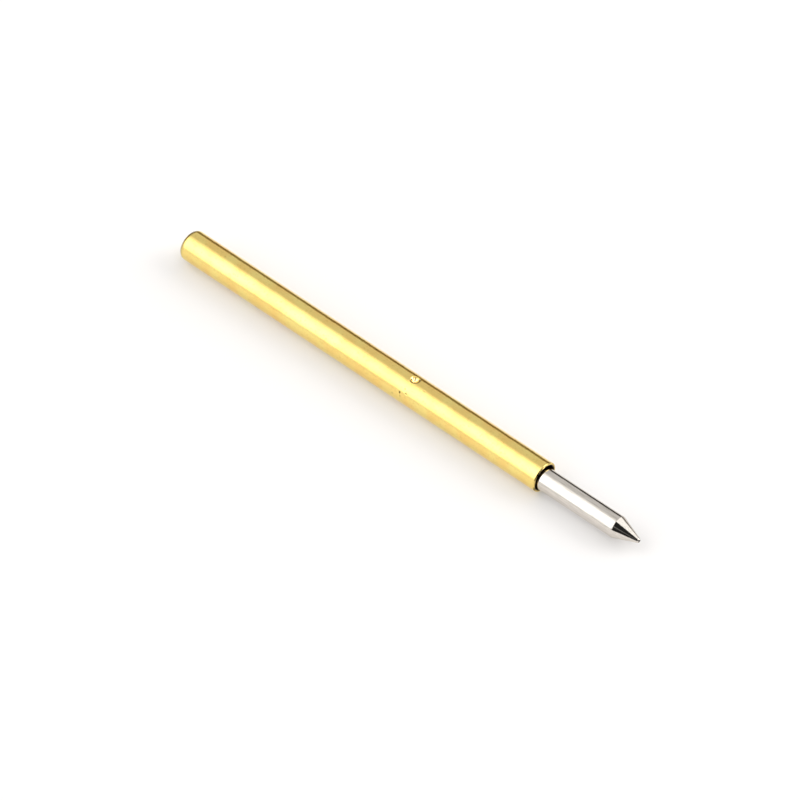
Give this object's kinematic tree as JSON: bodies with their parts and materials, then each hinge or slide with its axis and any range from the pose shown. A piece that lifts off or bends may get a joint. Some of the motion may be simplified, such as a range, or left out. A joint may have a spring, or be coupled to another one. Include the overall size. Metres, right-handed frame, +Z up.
{
  "type": "pogo pin",
  "caption": "Spring-loaded contact probe: a bright pointed plunger slides in a gold-coloured drawn tube with a rolled-in rear end and punched crimp dimples.",
  "frame": {"origin": "on the pin's axis, in the plane of the barrel's mouth", "axes": "+X along the pin towards the contact tip, +Z up, with the first crimp dimple near +Z"},
  "size_m": [0.0245, 0.0014, 0.0014],
  "materials": {
    "gold_plated_tube": "bright gold plating on drawn brass",
    "bright_plated_plunger": "bright silver-coloured plating on a turned plunger",
    "spring_wire": "drawn steel spring wire"
  },
  "bodies": {
    "barrel": {"barrel": "gold_plated_tube"},
    "spring": {"spring": "spring_wire"},
    "plunger": {"plunger": "bright_plated_plunger"}
  },
  "joints": [
    {"name": "plunger_spin", "type": "hinge", "parent": "barrel", "child": "spring", "pos_m": [0, 0, 0], "axis": [1, 0, 0], "continuous": true},
    {"name": "plunger_slide", "type": "slide", "parent": "spring", "child": "plunger", "axis": [-1, 0, 0], "range_m": [0, 0.0038], "stiffness_N_per_m": 500, "deforming": ["spring"]}
  ]
}
